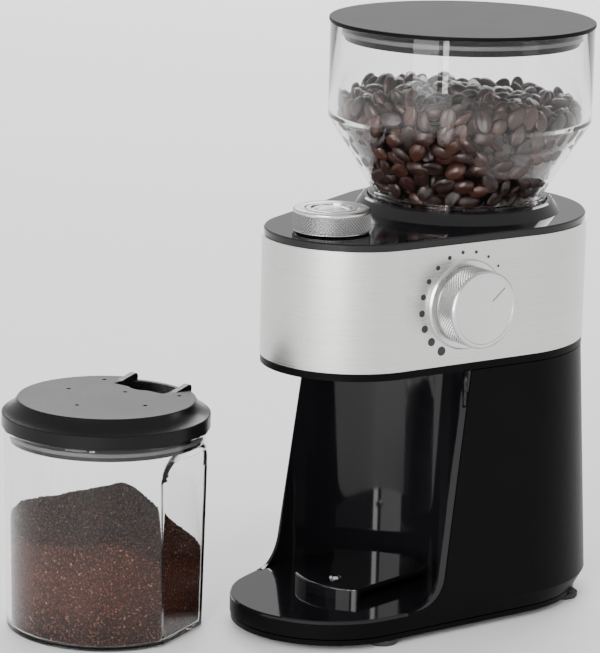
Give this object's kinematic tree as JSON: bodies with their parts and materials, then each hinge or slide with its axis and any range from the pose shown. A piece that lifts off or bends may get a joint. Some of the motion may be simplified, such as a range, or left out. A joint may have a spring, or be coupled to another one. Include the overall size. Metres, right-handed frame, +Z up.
{
  "type": "burr coffee grinder",
  "caption": "Electric burr coffee grinder with a lift-off bean hopper, grind dial and cup selector, and its lidded grounds container standing beside it.",
  "frame": {"origin": "middle of the footprint of the grinder and its container together, on the worktop", "axes": "+X towards the back of the grinder, where the cord leaves; -X is the side that the container bay opens to; -Y is the side with the grind dial; +Z up"},
  "size_m": [0.2799, 0.1882, 0.2783],
  "materials": {
    "gloss_black": "high gloss moulding",
    "satin_black": "fine satin moulding",
    "inner_black": "plain inner moulding",
    "band_steel": "brushed along the band",
    "knob_metal": "turned, diamond knurled",
    "dial_ink": "printed",
    "foot_rubber": "matt",
    "seal_silicone": "matt silicone",
    "pin_metal": "polished",
    "fixing_steel": "zinc plated",
    "burr_steel": "ground and hardened",
    "motor_steel": "zinc plated sheet",
    "plate_metal": "die cast",
    "bush_bronze": "sintered bronze",
    "magnet_dark": "dull",
    "gear_nylon": "natural nylon",
    "pinion_steel": "machined",
    "board_green": "solder mask",
    "clear_hopper": "clear polycarbonate",
    "clear_canister": "clear polycarbonate",
    "lid_black": "satin moulding",
    "roasted_bean": "oily roasted surface",
    "ground_bean": "loose granules"
  },
  "bodies": {
    "housing": {"column_shell": "satin_black", "bay_liner": "gloss_black", "base_deck": "gloss_black", "base_tray": "satin_black", "rubber_feet": "foot_rubber", "case_screws": "fixing_steel", "cord_gland": "foot_rubber", "motor_can": "motor_steel", "motor_magnets": "magnet_dark", "motor_end_cap": "inner_black", "motor_brushes": "magnet_dark", "motor_screws": "fixing_steel", "shaft_bushes": "bush_bronze", "gear_pins": "fixing_steel", "shaft_bearing": "fixing_steel", "shaft_seal": "seal_silicone", "gear_plate": "plate_metal", "gear_cover": "inner_black", "burr_chamber": "inner_black", "chute": "inner_black", "chute_gasket": "seal_silicone", "head_band": "band_steel", "head_frame": "inner_black", "head_floor": "satin_black", "top_cover": "gloss_black", "bean_funnel": "inner_black", "hopper_gasket": "seal_silicone", "micro_switches": "inner_black", "knob_collar": "knob_metal", "dial_marks": "dial_ink", "selector_switch": "inner_black", "control_board": "board_green"},
    "rotor": {"motor_rotor": "motor_steel", "motor_pinion": "pinion_steel"},
    "layshaft": {"layshaft_gear": "gear_nylon"},
    "burr_drive": {"drive_gear": "gear_nylon", "burr_shaft": "fixing_steel", "lower_burr": "burr_steel", "burr_hub": "inner_black", "feed_nut": "burr_steel"},
    "carrier": {"burr_carrier": "inner_black", "upper_burr": "burr_steel", "burr_screws": "fixing_steel"},
    "setting_ring": {"adjust_ring": "gear_nylon"},
    "idler": {"adjust_idler": "gear_nylon"},
    "grind_dial": {"grind_knob": "knob_metal", "knob_spindle": "fixing_steel"},
    "cup_selector": {"selector_knob": "knob_metal"},
    "start": {"start_button": "knob_metal"},
    "seat_pin": {"container_pin": "pin_metal"},
    "hopper_pin": {"hopper_switch_pin": "pin_metal"},
    "bean_hopper": {"hopper": "clear_hopper", "coffee_beans": "roasted_bean"},
    "bean_lid": {"hopper_lid": "lid_black", "hopper_lid_seal": "seal_silicone"},
    "container": {"canister": "clear_canister", "ground_coffee": "ground_bean"},
    "container_lid": {"canister_lid": "lid_black", "canister_lid_seal": "seal_silicone"}
  },
  "joints": [
    {"name": "rotor_spin", "type": "hinge", "parent": "housing", "child": "rotor", "pos_m": [0.09717, -0.02571, 0.096], "axis": [0, 0, 1], "continuous": true},
    {"name": "layshaft_spin", "type": "hinge", "parent": "housing", "child": "layshaft", "pos_m": [0.08641, 0.00013, 0.14], "axis": [0, 0, 1], "continuous": true},
    {"name": "burr_spin", "type": "hinge", "parent": "housing", "child": "burr_drive", "pos_m": [0.07118, -0.02571, 0.15], "axis": [0, 0, 1], "continuous": true},
    {"name": "grind_turn", "type": "hinge", "parent": "housing", "child": "grind_dial", "pos_m": [0.01937, -0.07494, 0.1565], "axis": [-0.2418, -0.9703, 0], "range_deg": [-90, 200]},
    {"name": "idler_turn", "type": "hinge", "parent": "housing", "child": "idler", "pos_m": [0.02511, -0.05192, 0.168], "axis": [0, 0, 1], "range_deg": [-100.5, 45.5]},
    {"name": "ring_turn", "type": "hinge", "parent": "housing", "child": "setting_ring", "pos_m": [0.07118, -0.02571, 0.172], "axis": [0, 0, 1], "range_deg": [-17.76, 39.47]},
    {"name": "carrier_lift", "type": "slide", "parent": "housing", "child": "carrier", "axis": [0, 0, 1], "range_m": [-0.00033, 0.00072]},
    {"name": "cup_select", "type": "hinge", "parent": "housing", "child": "cup_selector", "pos_m": [-0.01883, -0.02571, 0.194], "axis": [0, 0, 1], "range_deg": [-140, 140]},
    {"name": "start_press", "type": "slide", "parent": "cup_selector", "child": "start", "axis": [0, 0, -1], "range_m": [0, 0.0015], "stiffness_N_per_m": 400},
    {"name": "seat_pin_press", "type": "slide", "parent": "housing", "child": "seat_pin", "axis": [0, 0, -1], "range_m": [0, 0.0015], "stiffness_N_per_m": 250},
    {"name": "hopper_pin_press", "type": "slide", "parent": "housing", "child": "hopper_pin", "axis": [0, 0, -1], "range_m": [0, 0.0013], "stiffness_N_per_m": 250},
    {"name": "hopper_lift", "type": "slide", "parent": "housing", "child": "bean_hopper", "axis": [0, 0, 1], "range_m": [0, 0.1]},
    {"name": "bean_lid_lift", "type": "slide", "parent": "bean_hopper", "child": "bean_lid", "axis": [0, 0, 1], "range_m": [0, 0.06]},
    {"name": "container_lift", "type": "slide", "parent": "housing", "child": "container", "axis": [0, 0, 1], "range_m": [0, 0.12]},
    {"name": "container_lid_lift", "type": "slide", "parent": "container", "child": "container_lid", "axis": [0, 0, 1], "range_m": [0, 0.05]}
  ],
  "couplings": [
    {"joint": "layshaft_spin", "follows": "rotor_spin", "ratio": -0.25},
    {"joint": "burr_spin", "follows": "rotor_spin", "ratio": 0.090909},
    {"joint": "idler_turn", "follows": "ring_turn", "ratio": -2.5333},
    {"joint": "grind_turn", "follows": "ring_turn", "ratio": 5.0667},
    {"joint": "carrier_lift", "follows": "ring_turn", "m_per_rad": 0.0010133}
  ]
}
